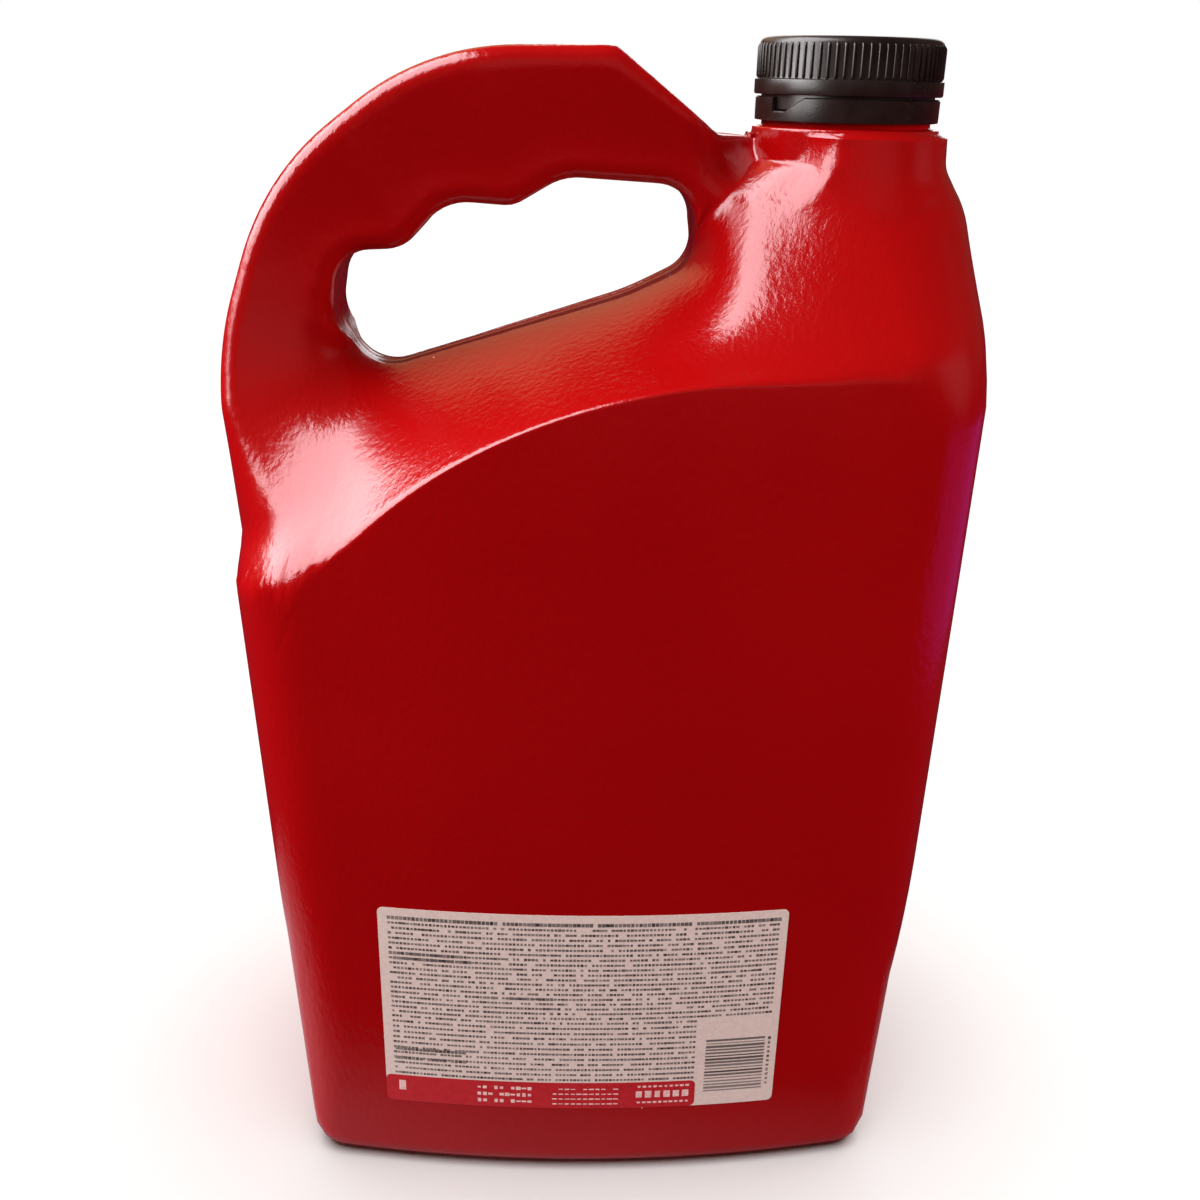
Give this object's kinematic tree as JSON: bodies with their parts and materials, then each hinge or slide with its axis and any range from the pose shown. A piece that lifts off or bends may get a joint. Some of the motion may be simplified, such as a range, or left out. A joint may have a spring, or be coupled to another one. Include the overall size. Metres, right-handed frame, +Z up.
{
  "type": "coolant jug",
  "caption": "Blow-moulded one gallon jug with a through handle, an offset neck, a ribbed screw cap and a tamper band.",
  "frame": {"origin": "middle of the base, on the surface the jug stands on", "axes": "+Z up, the broad faces look along -Y and +Y, the neck is towards +X and the handle towards -X"},
  "size_m": [0.1862, 0.1164, 0.3],
  "materials": {
    "jug_red": "semi-gloss moulded polyethylene with a fine grain",
    "cap_black": "satin moulded polypropylene",
    "liner_white": "foamed sealing wad",
    "label_paper": "printed film label"
  },
  "bodies": {
    "jug": {"jug_body": "jug_red", "tamper_band": "cap_black", "info_label": "label_paper", "main_label": "label_paper"},
    "cap_carrier": {"cap_liner": "liner_white"},
    "cap": {"cap": "cap_black"}
  },
  "joints": [
    {"name": "cap_lift", "type": "slide", "parent": "jug", "child": "cap_carrier", "axis": [0, 0, 1], "range_m": [0, 0.0064]},
    {"name": "cap_turn", "type": "hinge", "parent": "cap_carrier", "child": "cap", "pos_m": [0.05815, 0, 0.29], "axis": [0, 0, 1], "range_deg": [0, 540]}
  ],
  "couplings": [
    {"joint": "cap_lift", "follows": "cap_turn", "m_per_rad": 0.00067322}
  ]
}
